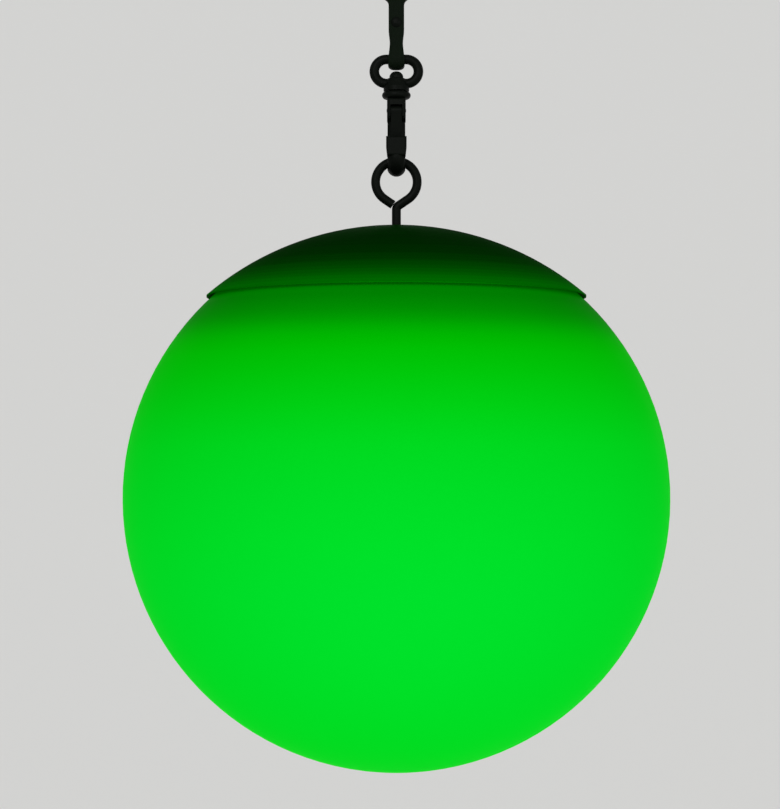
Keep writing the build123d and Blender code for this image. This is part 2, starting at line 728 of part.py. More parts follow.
with BuildPart() as globe_gasket:
    with BuildSketch(Plane.XY.offset(flange_z)):
        Circle(skirt_r + seat_gap + gasket_w)
        Circle(skirt_r + seat_gap, mode=Mode.SUBTRACT)
    extrude(amount=-gasket_t)
save(globe_gasket, "globe_gasket")

# ================================================================ LED ring
with BuildPart() as led_board:
    with BuildSketch(Plane.XY.offset(led_board_z)):
        Circle(led_board_outer_r)
        Circle(led_board_inner_r, mode=Mode.SUBTRACT)
        with PolarLocations(led_ring_r, pillar_count, start_angle=180 / pillar_count):
            Circle(pillar_r + seat_gap, mode=Mode.SUBTRACT)
    extrude(amount=board_t)
save(led_board, "led_board")

with BuildPart() as leds:
    with BuildSketch(Plane.XY.offset(led_board_z)):
        with PolarLocations(led_ring_r, led_count):
            Rectangle(led_size, led_size)
    extrude(amount=-led_h)
save(leds, "leds")

with BuildPart() as led_lens:
    with BuildSketch(Plane.XY.offset(lens_z)):
        Circle(led_board_outer_r + seat_gap + lens_wall)
        Circle(led_board_inner_r - seat_gap - lens_wall, mode=Mode.SUBTRACT)
    extrude(amount=lens_depth)
    with BuildSketch(Plane.XY.offset(lens_z + lens_wall)):
        Circle(led_board_outer_r + seat_gap)
        Circle(led_board_inner_r - seat_gap, mode=Mode.SUBTRACT)
        with PolarLocations(led_ring_r, pillar_count, start_angle=180 / pillar_count):
            Circle(pillar_r, mode=Mode.SUBTRACT)
    extrude(amount=lens_depth - lens_wall, mode=Mode.SUBTRACT)
    with BuildSketch(Plane.XY.offset(lens_z)):
        with PolarLocations(led_ring_r, pillar_count, start_angle=180 / pillar_count):
            Circle(screw_r + seat_gap)
    extrude(amount=lens_depth, mode=Mode.SUBTRACT)
    fillet(led_lens.edges().group_by(Axis.Z)[0].sort_by(SortBy.RADIUS)[-1], radius=0.8 * lens_wall)
save(led_lens, "led_lens")


with BuildPart() as lens_screws:
    with BuildSketch(Plane.XY.offset(lens_z)):
        with PolarLocations(led_ring_r, pillar_count, start_angle=180 / pillar_count):
            Circle(screw_head_r)
    extrude(amount=-screw_head_h)
    with BuildSketch(Plane.XY.offset(lens_z)):
        with PolarLocations(led_ring_r, pillar_count, start_angle=180 / pillar_count):
            Circle(screw_r)
    extrude(amount=lens_depth + deck_t)
save(lens_screws, "lens_screws")

# ================================================================ battery
with BuildPart() as battery_cells:
    for y in cell_ys:
        with BuildSketch(Plane.YZ.offset(-cell_length / 2)):
            with Locations((y, cell_z)):
                Circle(cell_d / 2)
        extrude(amount=cell_length - 1.2)
        with BuildSketch(Plane.YZ.offset(cell_length / 2 - 1.2)):
            with Locations((y, cell_z)):
                Circle(0.19 * cell_d)
        extrude(amount=1.2)
save(battery_cells, "battery_cells")

contact_x = tub_half_x - contact_t
with BuildPart() as battery_contacts:
    for side in (-1, 1):
        for y in cell_ys:
            with BuildSketch(Plane.YZ.offset(side * contact_x)):
                with Locations((y, cell_z)):
                    Rectangle(0.75 * cell_d, 0.75 * cell_d)
            extrude(amount=side * contact_t)
    # pressed dimples that reach the cells' button ends
    for y in cell_ys:
        with BuildSketch(Plane.YZ.offset(contact_x)):
            with Locations((y, cell_z)):
                Circle(0.22 * cell_d)
        extrude(amount=cell_length / 2 - contact_x)
save(battery_contacts, "battery_contacts")

# conical springs that press the cells against the far contacts
with BuildPart() as contact_springs:
    for y in cell_ys:
        with BuildSketch(Plane.YZ.offset(-contact_x)) as wide_end:
            with Locations((y, cell_z)):
                Circle(0.3 * cell_d)
        with BuildSketch(Plane.YZ.offset(-cell_length / 2)) as narrow_end:
            with Locations((y, cell_z)):
                Circle(0.2 * cell_d)
        loft()
save(contact_springs, "contact_springs")

with BuildPart() as battery_cover:
    with BuildSketch(Plane.XY.offset(cover_z)) as cover_plan:
        with Locations((0, tub_mid_y)):
            RectangleRounded(2 * cover_half_x, 2 * cover_half_y, 3.0)
            SlotOverall(2 * (ear_x + ear_r), 2 * ear_r)
    extrude(amount=cover_t)
    chamfer(battery_cover.edges().group_by(Axis.Z)[0], length=0.3 * cover_t)
    with BuildSketch(Plane.XY.offset(cover_z)):
        with Locations(*ear_places):
            Circle(screw_r + seat_gap)
    extrude(amount=cover_t, mode=Mode.SUBTRACT)
save(battery_cover, "battery_cover")

with BuildPart() as cover_seal:
    with BuildSketch(Plane.XY.offset(cover_z + cover_t)):
        with Locations((0, tub_mid_y)):
            RectangleRounded(2 * cover_half_x, 2 * cover_half_y, 3.0)
            SlotOverall(2 * (ear_x + ear_r), 2 * ear_r)
            RectangleRounded(2 * tub_half_x, tub_far_y - tub_near_y, 1.0, mode=Mode.SUBTRACT)
        with Locations(*ear_places):
            Circle(screw_r + seat_gap, mode=Mode.SUBTRACT)
    extrude(amount=cover_seal_t)
save(cover_seal, "cover_seal")

with BuildPart() as cover_screws:
    with BuildSketch(Plane.XY.offset(cover_z)):
        with Locations(*ear_places):
            Circle(screw_head_r)
    extrude(amount=-screw_head_h)
    chamfer(cover_screws.edges().group_by(Axis.Z)[0], length=0.4 * screw_head_h)
    with BuildSketch(Plane.XY.offset(cover_z)):
        with Locations(*ear_places):
            Circle(screw_r)
    extrude(amount=cover_t + cover_seal_t + screw_bite - 0.5)
save(cover_screws, "cover_screws")

# ================================================================ control board and button
with BuildPart() as control_board:
    with BuildSketch(Plane.XY.offset(control_z)):
        with Locations((0, control_mid_y)):
            RectangleRounded(control_size_x, control_size_y, 2.0)
        with Locations(*control_posts):
            Circle(screw_r + seat_gap, mode=Mode.SUBTRACT)
    extrude(amount=board_t)
save(control_board, "control_board")

board_top_z = control_z + board_t
with BuildPart() as board_screws:
    with BuildSketch(Plane.XY.offset(board_top_z)):
        with Locations(*control_posts):
            Circle(screw_head_r)
    extrude(amount=screw_head_h)
    with BuildSketch(Plane.XY.offset(board_top_z)):
        with Locations(*control_posts):
            Circle(screw_r)
    extrude(amount=-(board_t + screw_bite - 0.5))
save(board_screws, "board_screws")

with BuildPart() as board_parts:
    with BuildSketch(Plane.XY.offset(board_top_z)):
        with Locations((-6, control_mid_y - 3)):
            Rectangle(10, 8)
    extrude(amount=1.4)
    with BuildSketch(Plane.XY.offset(board_top_z)):
        with Locations((12, control_mid_y + 6)):
            Circle(3.2)
    extrude(amount=4.5)
    with BuildSketch(Plane.XY.offset(board_top_z)):
        with Locations((4, control_mid_y - 8), (9, control_mid_y - 8), (-14, control_mid_y + 6)):
            Rectangle(2.4, 1.4)
    extrude(amount=0.9)
save(board_parts, "board_parts")

with BuildPart() as mode_switch:
    with BuildSketch(Plane.XY.offset(control_z)):
        with Locations((0, button_y)):
            RectangleRounded(6.0, 6.0, 0.4)
    extrude(amount=-(control_z - stem_top_z - button_travel - move_gap))
save(mode_switch, "mode_switch")

with BuildPart() as mode_button:
    with BuildSketch(Plane.XY.offset(deck_z - button_show)):
        with Locations((0, button_y)):
            Circle(button_r)
    extrude(amount=deck_top_z + move_gap - deck_z + button_show)
    with BuildSketch(Plane.XY.offset(deck_top_z + move_gap / 3)):
        with Locations((0, button_y)):
            Circle(button_flange_r)
    extrude(amount=button_flange_t)
    with BuildSketch(Plane.XY.offset(deck_top_z + button_flange_t)):
        with Locations((0, button_y)):
            Circle(0.35 * button_r)
    extrude(amount=stem_top_z - deck_top_z - button_flange_t)
    fillet(mode_button.edges().group_by(Axis.Z)[0], radius=0.25 * button_r)
save(mode_button, "mode_button")

# ================================================================ leads
# flat twin leads, laid over the control board
run_z = board_top_z + lead_lift
tub_face_y = tub_near_y - tub_wall - seat_gap
near_end_y = control_near_y - 3.0
battery_lead_x = -cell_length / 2 + 10.0
with BuildPart() as battery_leads:
    with BuildLine():
        near_run = FilletPolyline(
            (battery_lead_x, tub_face_y, deck_top_z + 3.0), (battery_lead_x, -4.0, deck_top_z + 3.0),
            (battery_lead_x, -12.0, run_z), (battery_lead_x, near_end_y, run_z),
            (battery_lead_x, near_end_y, board_top_z + seat_gap), radius=lead_bend_r,
        )
    with BuildSketch(Plane(origin=near_run @ 0, x_dir=(1, 0, 0), z_dir=near_run % 0)):
        Rectangle(lead_w, lead_t)
    sweep(path=near_run)
save(battery_leads, "battery_leads")

far_end_y = control_near_y - control_size_y + 3.0
with BuildPart() as led_leads:
    with BuildLine():
        far_run = FilletPolyline(
            (0, far_end_y, board_top_z + seat_gap), (0, far_end_y, run_z),
            (0, far_end_y - 7.0, run_z), (0, far_end_y - 7.0, deck_top_z + 3.0),
            (0, lead_slot_y, deck_top_z + 3.0), (0, lead_slot_y, deck_z + seat_gap), radius=lead_bend_r,
        )
    with BuildSketch(Plane(origin=far_run @ 0, x_dir=(1, 0, 0), z_dir=far_run % 0)):
        Rectangle(lead_w, lead_t)
    sweep(path=far_run)
save(led_leads, "led_leads")

# ================================================================ globe
notch_angle = lug_angle + 2 * notch_play
with BuildPart() as globe:
    with BuildSketch(Plane.XZ):
        with BuildLine():
            outer = ThreePointArc((0, globe_z - globe_r), (globe_r, globe_z), (mouth_r, mouth_z))
            Polyline(outer @ 1, (lip_inner_r, mouth_z), (lip_inner_r, lip_z), (lip_outer_r, lip_z))
            inner_arc = ThreePointArc(
                (lip_outer_r, lip_z), (globe_inner_r, globe_z), (0, globe_z - globe_inner_r),
            )
            Line(inner_arc @ 1, outer @ 0)
        make_face()
    revolve(axis=Axis.Z)
    # notches that let the lugs through, a turn of twist_angle away from them
    with BuildSketch(Plane.XY.offset(lip_z - 0.5)):
        for i in range(lug_count):
            with BuildLine():
                first = 90 + i * 360 / lug_count - twist_angle - notch_angle / 2
                CenterArc((0, 0), skirt_r + lug_reach + move_gap, first, notch_angle)
                CenterArc((0, 0), lip_inner_r - 1, first, notch_angle)
                for side in (first, first + notch_angle):
                    Line(polar(lip_inner_r - 1, side), polar(skirt_r + lug_reach + move_gap, side))
            make_face()
    extrude(amount=lip_t + 1, mode=Mode.SUBTRACT)
    # stop beside each lug, under the lip
    with BuildSketch(Plane.XY.offset(lip_z)):
        for i in range(lug_count):
            with BuildLine():
                first = 90 + i * 360 / lug_count + lug_angle / 2 + 0.3
                CenterArc((0, 0), lip_outer_r + 0.5, first, stop_angle)
                CenterArc((0, 0), lip_inner_r + 1, first, stop_angle)
                for side in (first, first + stop_angle):
                    Line(polar(lip_inner_r + 1, side), polar(lip_outer_r + 0.5, side))
            make_face()
    extrude(amount=-stop_drop)
save(globe, "globe")
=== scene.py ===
import math

import bpy
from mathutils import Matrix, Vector


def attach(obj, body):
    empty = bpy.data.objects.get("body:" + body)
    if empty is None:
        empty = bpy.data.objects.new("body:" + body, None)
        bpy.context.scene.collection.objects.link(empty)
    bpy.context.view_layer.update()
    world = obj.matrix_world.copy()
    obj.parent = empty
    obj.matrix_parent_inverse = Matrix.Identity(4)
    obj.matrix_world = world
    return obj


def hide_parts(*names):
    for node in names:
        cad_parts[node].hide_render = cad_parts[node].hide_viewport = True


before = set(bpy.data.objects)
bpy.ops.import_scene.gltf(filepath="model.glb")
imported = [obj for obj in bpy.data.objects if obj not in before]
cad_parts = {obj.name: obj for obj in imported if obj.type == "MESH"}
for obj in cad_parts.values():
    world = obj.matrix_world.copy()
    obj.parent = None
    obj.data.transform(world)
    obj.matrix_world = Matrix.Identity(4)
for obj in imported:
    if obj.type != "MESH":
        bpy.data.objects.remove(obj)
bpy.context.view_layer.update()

MM = 0.001
GLOBE_Z = -283.901 * MM  # centre of the globe
GLOBE_R = 150.0 * MM
CAP_R = 104.6 * MM


# ---------------------------------------------------------------- node helpers
def wire(tree, node, inputs):
    """Link or set a node's inputs, which go by name or number."""
    for key, value in inputs.items():
        if isinstance(value, bpy.types.NodeSocket):
            tree.links.new(value, node.inputs[key])
        else:
            node.inputs[key].default_value = value
    return node


def add(tree, kind, inputs=None, **settings):
    """A new node with its settings and its inputs."""
    node = tree.nodes.new(kind)
    for key, value in settings.items():
        setattr(node, key, value)
    return wire(tree, node, inputs or {})


def maths(tree, operation, a, b=0.0):
    return add(tree, "ShaderNodeMath", {0: a, 1: b}, operation=operation).outputs[0]


def span(tree, value, low, high, start=0.0, end=1.0):
    """The value's range start..end stretched to low..high, and held there outside it."""
    inputs = {"Value": value, 1: start, 2: end, 3: low, 4: high}
    return add(tree, "ShaderNodeMapRange", inputs).outputs[0]


def ramp(tree, factor, stops):
    """A colour ramp; stops are (position, (r, g, b))."""
    node = add(tree, "ShaderNodeValToRGB", {"Fac": factor})
    band = node.color_ramp
    while len(band.elements) < len(stops):
        band.elements.new(1.0)
    for element, (position, colour) in zip(band.elements, stops):
        element.position = position
        element.color = (*colour, 1.0)
    return node.outputs["Color"]


def mix(tree, factor, a, b, blend="MIX"):
    """Two colours mixed; each is a socket or (r, g, b)."""
    a, b = (c if isinstance(c, bpy.types.NodeSocket) else (*c, 1.0) for c in (a, b))
    inputs = {"Factor": factor, 6: a, 7: b}  # 6, 7 and output 2 are the node's colour sockets
    return add(tree, "ShaderNodeMix", inputs, data_type="RGBA", blend_type=blend).outputs[2]


def noise(tree, at, scale, detail=4.0, roughness=0.5):
    inputs = {"Vector": at, "Scale": scale, "Detail": detail, "Roughness": roughness}
    return add(tree, "ShaderNodeTexNoise", inputs).outputs["Fac"]


def bump(tree, height, depth):
    """A bumped normal; the depth is in mm."""
    inputs = {"Height": height, "Distance": depth * MM}
    return add(tree, "ShaderNodeBump", inputs).outputs["Normal"]


def axis_parts(tree, at):
    node = add(tree, "ShaderNodeSeparateXYZ", {0: at})
    return [node.outputs[k] for k in "XYZ"]


def length2(tree, a, b):
    """The length of the flat vector (a, b)."""
    squares = [maths(tree, "MULTIPLY", side, side) for side in (a, b)]
    return maths(tree, "SQRT", maths(tree, "ADD", *squares))


def material(name):
    """A new material, its node tree, its shader and the place on the object."""
    mat = bpy.data.materials.new(name)
    mat.use_nodes = True
    tree = mat.node_tree
    at = add(tree, "ShaderNodeTexCoord").outputs["Object"]
    return mat, tree, tree.nodes["Principled BSDF"], at


# ---------------------------------------------------------------- plain finishes
# slot, material, roughness, scale of the grain, its depth in mm, light and dark colour
METALS = [
    ("spring_steel", "spring_wire", 0.35, 1200.0, 0.01, (0.30, 0.30, 0.29), (0.16, 0.16, 0.15)),
    ("zinc_steel", "zinc_plate", 0.32, 900.0, 0.01, (0.62, 0.63, 0.64), (0.45, 0.46, 0.47)),
    ("contact_metal", "nickel", 0.26, 900.0, 0.01, (0.66, 0.63, 0.57), (0.48, 0.46, 0.42)),
]
OTHERS = [
    ("seal_rubber", "black_rubber", 0.75, 700.0, 0.04, (0.02, 0.02, 0.021), (0.01, 0.01, 0.011)),
    ("white_plastic", "white_moulding", 0.45, 600.0, 0.03, (0.74, 0.74, 0.72), (0.66, 0.66, 0.64)),
    ("button_plastic", "grey_button", 0.50, 700.0, 0.04, (0.20, 0.20, 0.21), (0.14, 0.14, 0.15)),
    ("led_board_white", "white_board", 0.38, 500.0, 0.01, (0.78, 0.78, 0.75), (0.70, 0.70, 0.67)),
    ("led_emitter", "phosphor", 0.40, 900.0, 0.02, (0.85, 0.66, 0.12), (0.78, 0.55, 0.08)),
    ("clear_lens", "frosted_lens", 0.40, 500.0, 0.02, (0.70, 0.74, 0.72), (0.62, 0.66, 0.64)),
    ("cell_jacket", "cell_sleeve", 0.28, 500.0, 0.01, (0.05, 0.055, 0.06), (0.03, 0.032, 0.035)),
    ("circuit_board", "solder_mask", 0.34, 800.0, 0.02, (0.02, 0.12, 0.045), (0.012, 0.08, 0.03)),
    ("chip_black", "chip_epoxy", 0.55, 1500.0, 0.01, (0.022, 0.022, 0.024), (0.012, 0.012, 0.013)),
    ("lead_red", "red_sleeve", 0.42, 900.0, 0.01, (0.45, 0.02, 0.02), (0.34, 0.012, 0.012)),
    ("lead_white", "white_sleeve", 0.42, 900.0, 0.01, (0.70, 0.70, 0.68), (0.60, 0.60, 0.58)),
]
CLOUD_SCALE = 0.12  # scale of the mottling, as a share of the grain's


def plain_finish(name, roughness, grain, depth, light, dark, metallic):
    """Moulded, painted or cast stock: mottled colour, uneven gloss and a fine surface grain."""
    mat, tree, shader, at = material(name)
    cloud = noise(tree, at, grain * CLOUD_SCALE, detail=5.0, roughness=0.6)
    wire(tree, shader, {
        "Base Color": mix(tree, cloud, dark, light),
        "Roughness": span(tree, cloud, low=roughness - 0.06, high=roughness + 0.08),
        "Normal": bump(tree, noise(tree, at, grain, detail=3.0), depth),
        "Metallic": metallic,
    })
    return mat


# ---------------------------------------------------------------- globe
# by height above the globe's centre as a share of its radius: green of its light
GLOW = [
    (-1.0, 0.543), (-0.94, 0.541), (-0.77, 0.533), (-0.52, 0.508), (-0.33, 0.483), (-0.15, 0.460),
    (0.02, 0.423), (0.18, 0.387), (0.31, 0.340), (0.42, 0.298), (0.50, 0.277), (0.557, 0.232),
    (0.585, 0.188), (0.613, 0.131), (0.642, 0.089), (0.70, 0.047), (0.74, 0.078),
]
# by the same height: green and blue of the plastic, with painted shade: both fall away towards the
# collar as the lamp's light does
GLOBE_TONE_AND_PAINTED_SHADE = [
    (-1.0, 0.333, 0.030), (-0.94, 0.333, 0.028), (-0.77, 0.333, 0.030), (-0.52, 0.333, 0.031),
    (-0.33, 0.333, 0.030), (-0.15, 0.333, 0.025), (0.02, 0.333, 0.0205), (0.18, 0.333, 0.0145),
    (0.31, 0.318, 0.007), (0.42, 0.300, 0.003), (0.53, 0.260, 0.0), (0.60, 0.215, 0.0),
    (0.66, 0.19, 0.0), (0.75, 0.17, 0.0),
]
CLOUDING = (0.0, 0.22, 0.012)  # colour of the plastic's faint clouds
CLOUDING_MOST = 0.05


def globe_material():
    """Opal plastic lit from inside: the light falls away towards the collar, and painted shade
    darkens the plastic's colour towards it too.
    """
    mat, tree, shader, at = material("opal_globe_lit")
    height = axis_parts(tree, at)[2]
    level = span(tree, height, 0.0, 1.0, start=GLOBE_Z - GLOBE_R, end=GLOBE_Z + GLOBE_R)
    glow = ramp(tree, level, [((h + 1) / 2, (0.0, green, 0.0)) for h, green in GLOW])
    # the plastic's colour by height, darkened towards the collar by painted shade
    skin = ramp(tree, level, [((h + 1) / 2, (0.0, green, blue)) for h, green, blue in GLOBE_TONE_AND_PAINTED_SHADE])
    cloud = span(tree, noise(tree, at, scale=9.0, detail=3.0), 0.0, CLOUDING_MOST)
    wire(tree, shader, {
        "Base Color": mix(tree, cloud, skin, CLOUDING),
        "Emission Color": glow,
        "Emission Strength": 1.0,
        "IOR": 1.025,
        "Roughness": span(tree, noise(tree, at, scale=26.0), low=0.44, high=0.58),
        "Normal": bump(tree, noise(tree, at, scale=700.0, detail=2.0), 0.02),
    })
    return mat


# ---------------------------------------------------------------- cap
# its green by share of its radius is painted light: the lamp's green light, dark on the crown, with
# a painted glow from the globe lighter towards the rim
CAP_PAINTED_GREEN_LIGHT = [
    (0.0, 0.010), (0.08, 0.015), (0.16, 0.022), (0.60, 0.022), (0.75, 0.030), (0.83, 0.046),
    (0.863, 0.064), (0.896, 0.082), (0.935, 0.106), (0.968, 0.146), (0.985, 0.155), (1.0, 0.150),
]
LINE_PITCH, BAND_PITCH = 2600.0, 420.0  # of the brushed lines and of broader bands, per metre


def rings(tree, radius, pitch, detail, roughness=0.5):
    """Noise in rings round the axis."""
    along = maths(tree, "MULTIPLY", radius, pitch)
    at = add(tree, "ShaderNodeCombineXYZ", {"X": along}).outputs[0]
    return noise(tree, at, 1.0, detail, roughness)


def cap_material():
    """Brushed sheet: fine rings round the axis, in painted green light: dark on the crown and a
    painted glow lighter at the rim.
    """
    mat, tree, shader, at = material("brushed_cap_dark")
    x, y, _ = axis_parts(tree, at)
    radius = length2(tree, x, y)
    lines = rings(tree, radius, LINE_PITCH, detail=6.0, roughness=0.7)
    bands = rings(tree, radius, BAND_PITCH, detail=3.0)
    cloud = noise(tree, at, scale=30.0)
    share = span(tree, radius, 0.0, 1.0, start=0.0, end=CAP_R)
    # painted green light and the globe's painted glow, by radius
    cap_painted_light = ramp(tree, share, [(r, (0.0, green, 0.0)) for r, green in CAP_PAINTED_GREEN_LIGHT])
    lined = mix(tree, 1.0, cap_painted_light, span(tree, lines, 0.72, 1.28), "MULTIPLY")
    band_shade = span(tree, bands, 0.80, 1.20, start=0.25, end=0.75)
    wire(tree, shader, {
        "Base Color": mix(tree, 1.0, lined, band_shade, "MULTIPLY"),
        "Roughness": span(tree, mix(tree, 0.5, bands, cloud), low=0.34, high=0.50),
        "Tangent": add(tree, "ShaderNodeTangent", direction_type="RADIAL", axis="Z").outputs[0],
        "Anisotropic": 0.6,
        "Metallic": 0.20,
        "IOR": 1.01,
        # painted reflection: the gloss is tinted green like the lamp's light
        "Specular Tint": (0.0, 0.3, 0.0, 1.0),
        "Normal": bump(tree, lines, 0.03),
    })
    return mat


# ---------------------------------------------------------------- fittings
# places where they rub on each other and are polished: centre and radius, in mm
RUBBED = [((0.0, 0.0, -101.0), 7.0), ((0.0, 0.0, -52.0), 7.0), ((-9.0, 0.0, -110.0), 3.0)]
RUB_FULL = 0.3  # polished all over within this share of the radius
# the green in these colours, the worn one too, is painted light: the lamp's green cast on black
# iron; the worn spots themselves are real wear
IRON_DARK, IRON_LIGHT = (0.0012, 0.0020, 0.0012), (0.0040, 0.0056, 0.0038)
IRON_WORN = (0.012, 0.015, 0.011)


def iron_material():
    """Black-finished iron: fine cast grain, uneven gloss, greyer where the fittings rub."""
    mat, tree, shader, at = material("black_iron")
    cloud = noise(tree, at, scale=110.0, detail=5.0, roughness=0.6)
    spots = []
    for centre, reach in RUBBED:
        inputs = {0: at, 1: [c * MM for c in centre]}
        gap = add(tree, "ShaderNodeVectorMath", inputs, operation="DISTANCE").outputs["Value"]
        spots.append(span(tree, gap, 1.0, 0.0, start=RUB_FULL * reach * MM, end=reach * MM))
    rubbed = spots[0]
    for spot in spots[1:]:
        rubbed = maths(tree, "MAXIMUM", rubbed, spot)
    patchy = span(tree, noise(tree, at, scale=420.0, roughness=0.7), 0.0, 1.0, start=0.45, end=0.70)
    worn = maths(tree, "MULTIPLY", rubbed, patchy)
    grain = maths(tree, "ADD", noise(tree, at, scale=900.0, detail=3.0), cloud)
    wire(tree, shader, {
        "Base Color": mix(tree, worn, mix(tree, cloud, IRON_DARK, IRON_LIGHT), IRON_WORN),
        "Roughness": span(tree, cloud, low=0.36, high=0.54),
        "Normal": bump(tree, grain, 0.04),
        "Specular IOR Level": 0.05,
    })
    return mat


# ---------------------------------------------------------------- leather
def leather_material(name, light, dark, roughness, depth):
    """Dark strap leather: pebbled grain over soft creases, with painted shade in the grooves
    between the pebbles.
    """
    mat, tree, shader, at = material(name)
    inputs = {"Vector": at, "Scale": 1500.0}
    cell = add(tree, "ShaderNodeTexVoronoi", inputs, feature="DISTANCE_TO_EDGE")
    pebble = span(tree, cell.outputs["Distance"], 0.0, 1.0, start=0.0, end=0.25)
    cloud = noise(tree, at, scale=160.0, detail=5.0)
    crease = noise(tree, at, scale=420.0, detail=6.0, roughness=0.65)
    tone = mix(tree, cloud, dark, light)
    wire(tree, shader, {
        # darker in the grooves between the pebbles: painted shade
        "Base Color": mix(tree, 0.5, tone, span(tree, pebble, 0.55, 1.0), "MULTIPLY"),
        "Roughness": span(tree, cloud, low=roughness, high=roughness + 0.18),
        "Normal": bump(tree, maths(tree, "ADD", pebble, crease), depth),
        "Specular IOR Level": 0.07,
    })
    return mat


# the green in these leather colours is painted light: the cast of the lamp's green light on dark
# leather
leather = leather_material(
    "strap_leather", light=(0.0035, 0.0090, 0.0030), dark=(0.0016, 0.0045, 0.0014),
    roughness=0.55, depth=0.08,
)
leather_edge = leather_material(
    "strap_edge", light=(0.0028, 0.0060, 0.0022), dark=(0.0012, 0.0030, 0.0010),
    roughness=0.38, depth=0.03,
)
finishes = {
    "dark_leather": leather,
    "black_metal": iron_material(),
    "brushed_cap": cap_material(),
    "opal_globe": globe_material(),
}
for table, metallic in ((METALS, 1.0), (OTHERS, 0.0)):
    for slot, *finish in table:
        finishes[slot] = plain_finish(*finish, metallic)
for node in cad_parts.values():
    for place in node.material_slots:
        place.material = finishes[place.material.name.split(".")[0]]


# ---------------------------------------------------------------- objects
def link_new(name, data):
    """A new object in the scene."""
    thing = bpy.data.objects.new(name, data)
    bpy.context.scene.collection.objects.link(thing)
    return thing


def smooth_mesh(name, verts, faces):
    mesh = bpy.data.meshes.new(name)
    mesh.from_pydata(verts, [], faces)
    mesh.polygons.foreach_set("use_smooth", [True] * len(faces))
    return mesh


# ---------------------------------------------------------------- strap, in mm
# One leather strip, folded round the eye's top wire and closed against itself by the rivet.
PLY = 3.0  # thickness
PLY_MID = PLY / 2 - 0.01  # from the strap's middle plane to each ply's; the plies are pressed
WIRE_Z = -41.3  # centre of the wire
LOOP_R = 3.0  # inside of the loop
TAB_R = 10.0
STRIP_HALF, WAIST_HALF, LOOP_HALF = 4.3, 3.65, 4.6  # half widths
TAB_FILLET = 3.5
# depth of the fillets' centres below the hole's
SHOULDER = math.sqrt((TAB_R + TAB_FILLET) ** 2 - (STRIP_HALF + TAB_FILLET) ** 2)
WAIST_Z = -32.5
WAIST_BLEND = 8.0  # height over which the strip narrows to its waist
PART_RISE = 1.0  # the plies part about this far above the waist
PART_REACH = 2.6  # length of the bend each side of the corner where they part
HOLE_R = 4.72  # for the eyelet's barrel
HOLE_BEVEL, HOLE_BEVEL_WIDTH = 0.25, 0.5  # bevel at the hole: into each skin, and its width
EDGE_R = 0.7  # rounding of the strip's edges
EDGE_LEAST = 0.06  # lowest that the outer skin comes to the inner one's level at an edge
EDGE_SHARE = 0.45  # the inner skin is cut back by this share of the outer's height at most
CREASE, CREASE_DEPTH, CREASE_WIDTH = 1.25, 0.16, 0.14  # pressed line: from the edge, depth, width
FOOT_FROM = 0.5  # the loop's foot is rounded where its outside faces down by more than this
JOIN_Z = -14.0  # the tab's ring of faces meets the strip's rows here
INSET = [0.0, 0.06, 0.22, 0.45, 0.7, 0.95, 1.10, 1.25, 1.40, 1.55]  # of the columns near an edge
CORE = 5  # columns between the two edges' insets, each side of the middle
# steps along the strip: straight ply, bend, leaning ply, half of the loop
PLY_STEPS, BEND_STEPS, LEAN_STEPS, LOOP_STEPS = 18, 6, 6, 14
# steps round half the tab: straight side, fillet, crown; and from its edge to the hole
SIDE_STEPS, FILLET_STEPS, CROWN_STEPS, HOLE_STEPS = 3, 6, 28, 7


def line(a, b, steps):
    """Points on the line from a to b, without a."""
    return [tuple(p + (q - p) * i / steps for p, q in zip(a, b)) for i in range(1, steps + 1)]


def curve(a, corner, b, steps):
    """Points on the bend from a to b that the corner pulls, without a."""
    points = []
    for i in range(1, steps + 1):
        t = i / steps
        points.append(tuple(
            (1 - t) ** 2 * p + 2 * t * (1 - t) * c + t * t * q for p, c, q in zip(a, corner, b)
        ))
    return points


def arc(centre, radius, start, end, steps):
    """Points on a circle from angle start to angle end, without the first."""
    angles = [start + (end - start) * i / steps for i in range(1, steps + 1)]
    return [(centre[0] + radius * math.cos(a), centre[1] + radius * math.sin(a)) for a in angles]


def ease(t):
    """0 to 1 with a soft start and end."""
    return 3 * t * t - 2 * t ** 3


def half_width(z):
    """Half the strip's width at this height, below the tab."""
    if z > WAIST_Z + WAIST_BLEND:
        return STRIP_HALF
    if z > WAIST_Z:
        share = ease((WAIST_Z + WAIST_BLEND - z) / WAIST_BLEND)
        return STRIP_HALF + (WAIST_HALF - STRIP_HALF) * share
    share = ease(min(1.0, (WAIST_Z - z) / (WAIST_Z - (WIRE_Z - LOOP_R))))
    return WAIST_HALF + (LOOP_HALF - WAIST_HALF) * share


def strip_route():
    """The strip's middle line as (y, z): from the tab's foot, down, round the wire and up."""
    mid_r = LOOP_R + PLY / 2
    lean = math.asin((mid_r - PLY_MID) / (WAIST_Z + PART_RISE - WIRE_Z))
    touch = (-mid_r * math.cos(lean), WIRE_Z + mid_r * math.sin(lean))
    corner_z = touch[1] + (-PLY_MID - touch[0]) / math.tan(lean)
    top, corner = (-PLY_MID, JOIN_Z), (-PLY_MID, corner_z)
    bend_top = (-PLY_MID, corner_z + PART_REACH)
    bend_end = (
        -PLY_MID - PART_REACH * math.sin(lean),
        corner_z - PART_REACH * math.cos(lean),
    )
    half = [top] + line(top, bend_top, PLY_STEPS)
    half += curve(bend_top, corner, bend_end, BEND_STEPS)
    half += line(bend_end, touch, LEAN_STEPS)
    half += arc((0.0, WIRE_Z), mid_r, math.pi - lean, 1.5 * math.pi, LOOP_STEPS)
    return half + [(-y, z) for y, z in half[-2::-1]]


def edge_cut(depth):
    """How far the rounded edge lies below the skin at this distance from the strip's edge."""
    return EDGE_R - math.sqrt(EDGE_R ** 2 - (EDGE_R - min(max(depth, 0.0), EDGE_R)) ** 2)


def columns(half):
    """Places across a strip of this half width."""
    inner = half - INSET[-1]
    left = [inset - half for inset in INSET]
    left += [inner * i / (CORE + 1) - inner for i in range(1, CORE + 1)]
    return left + [0.0] + [-x for x in reversed(left)]


